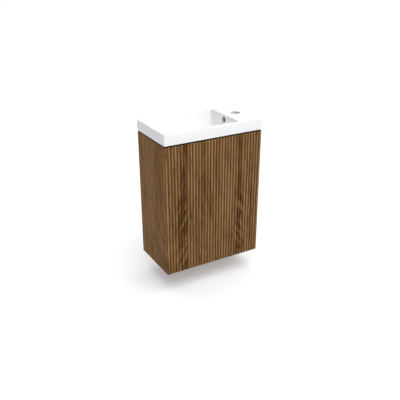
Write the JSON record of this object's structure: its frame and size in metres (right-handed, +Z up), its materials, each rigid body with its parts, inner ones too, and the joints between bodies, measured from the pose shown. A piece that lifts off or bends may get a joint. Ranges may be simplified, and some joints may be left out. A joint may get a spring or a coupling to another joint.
{
  "type": "cloakroom vanity unit",
  "caption": "Wall-hung cloakroom vanity: white slab basin with a side tap deck over a walnut-look cabinet with a fluted handleless door.",
  "frame": {"origin": "centre of the basin's rear face, on the wall plane: mid-width, 20 mm below the basin's top", "axes": "+X to the user's right along the wall, +Y into the wall, +Z up; the door faces -Y"},
  "size_m": [0.4, 0.22, 0.54],
  "materials": {
    "basin_resin": "gloss white gel-coated cast mineral resin",
    "sealant": "dark brown silicone sealant",
    "walnut_panel": "matt walnut-look foil on board",
    "walnut_band": "matt walnut-look edge band",
    "walnut_door": "matt walnut-look foil wrapped over fluted board",
    "dowel_wood": "fluted beech, unfinished",
    "zinc": "bright zinc plated",
    "nickel": "satin nickel plated pressed steel",
    "steel": "ground steel pin",
    "white_plastic": "moulded white nylon",
    "grey_plastic": "moulded grey acetal",
    "clear_rubber": "clear soft polyurethane"
  },
  "bodies": {
    "cabinet": {"basin": "basin_resin", "basin_seal": "sealant", "side_panel_left": "walnut_panel", "side_panel_right": "walnut_panel", "bottom_panel": "walnut_panel", "back_rail_bottom": "walnut_panel", "back_rail_top": "walnut_panel", "edge_bands": "walnut_band", "cam_locks": "zinc", "cam_bolts": "zinc", "dowels": "dowel_wood", "shelf": "walnut_panel", "shelf_pins": "nickel", "wall_plate_left": "zinc", "wall_plate_right": "zinc", "hanger_body_left": "white_plastic", "hanger_body_right": "white_plastic", "hanger_hook_left": "zinc", "hanger_hook_right": "zinc", "hanger_cover_left": "white_plastic", "hanger_cover_right": "white_plastic", "hanger_adjusters": "zinc", "hanger_screws": "zinc", "hinge_arm_bottom": "nickel", "hinge_arm_top": "nickel", "hinge_plate_bottom": "nickel", "hinge_plate_top": "nickel", "hinge_cover_bottom": "nickel", "hinge_cover_top": "nickel", "hinge_plate_screws": "zinc", "hinge_arm_screws": "zinc", "push_latch_body": "grey_plastic", "latch_screws": "zinc"},
    "door": {"door_panel": "walnut_door", "hinge_cup_bottom": "nickel", "hinge_cup_top": "nickel", "hinge_pin_bottom": "steel", "hinge_pin_top": "steel", "hinge_cup_screws": "zinc", "strike_plate": "nickel", "strike_plate_screw": "zinc", "door_bumpers": "clear_rubber"},
    "latch_plunger": {"push_latch_plunger": "grey_plastic"}
  },
  "joints": [
    {"name": "door_hinge", "type": "hinge", "parent": "cabinet", "child": "door", "pos_m": [0.19, -0.2065, 0], "axis": [0, 0, 1], "range_deg": [0, 95]},
    {"name": "latch_travel", "type": "slide", "parent": "cabinet", "child": "latch_plunger", "axis": [0, -1, 0], "range_m": [0, 0.0125]}
  ],
  "couplings": [
    {"joint": "latch_travel", "follows": "door_hinge", "m_per_rad": 0.0072}
  ]
}
